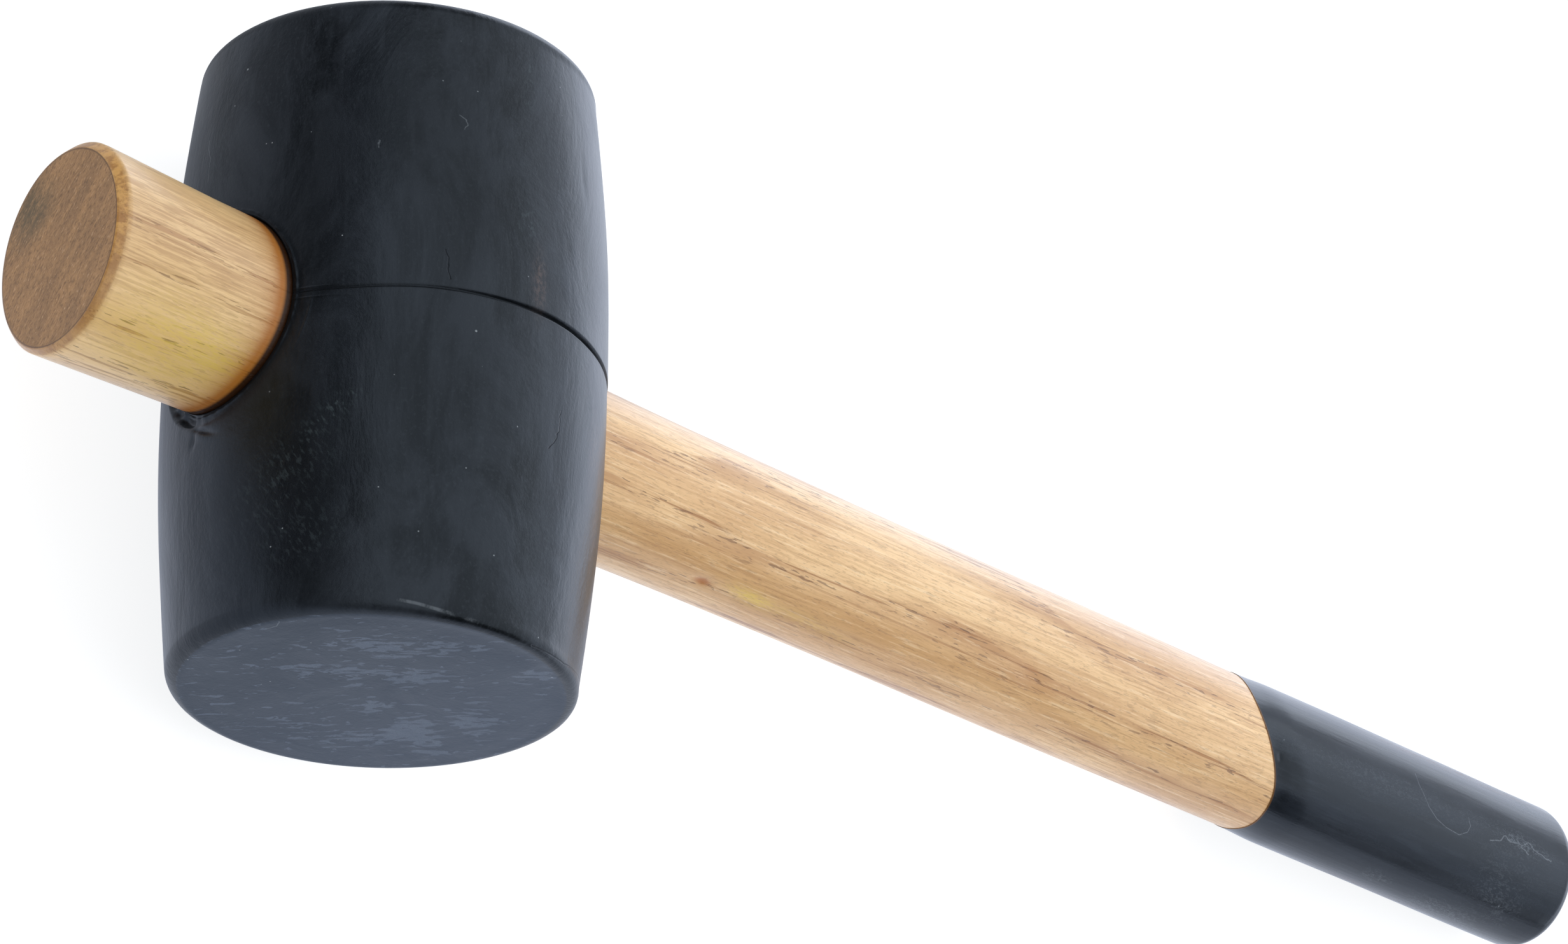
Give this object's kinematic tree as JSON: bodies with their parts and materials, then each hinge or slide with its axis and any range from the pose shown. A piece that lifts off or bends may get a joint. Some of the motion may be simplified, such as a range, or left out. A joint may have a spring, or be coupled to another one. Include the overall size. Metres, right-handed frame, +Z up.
{
  "type": "rubber mallet",
  "caption": "Rubber mallet with a crowned barrel head, an oval wooden handle wedged through the head's eye by its own taper, and a dipped rubber coat on the grip.",
  "frame": {"origin": "on the table that the mallet lies on, straight under the centre of the head, where the belly touches the table", "axes": "+X along the table from the head to the end of the grip, +Y along the head from one striking face to the other, +Z up; the handle leans 4.54 degrees down from +X, because the belly and the end of the grip both rest on the table"},
  "size_m": [0.33, 0.098, 0.065],
  "materials": {
    "head_rubber": "moulded black rubber, matt, scuffed and dusty",
    "handle_wood": "pale straight-grained hardwood, sanded, thin clear seal",
    "dip_coat": "dipped black rubber, satin"
  },
  "bodies": {
    "root": {"rubber_head": "head_rubber", "wooden_handle": "handle_wood", "grip_dip_coat": "dip_coat"}
  },
  "joints": []
}
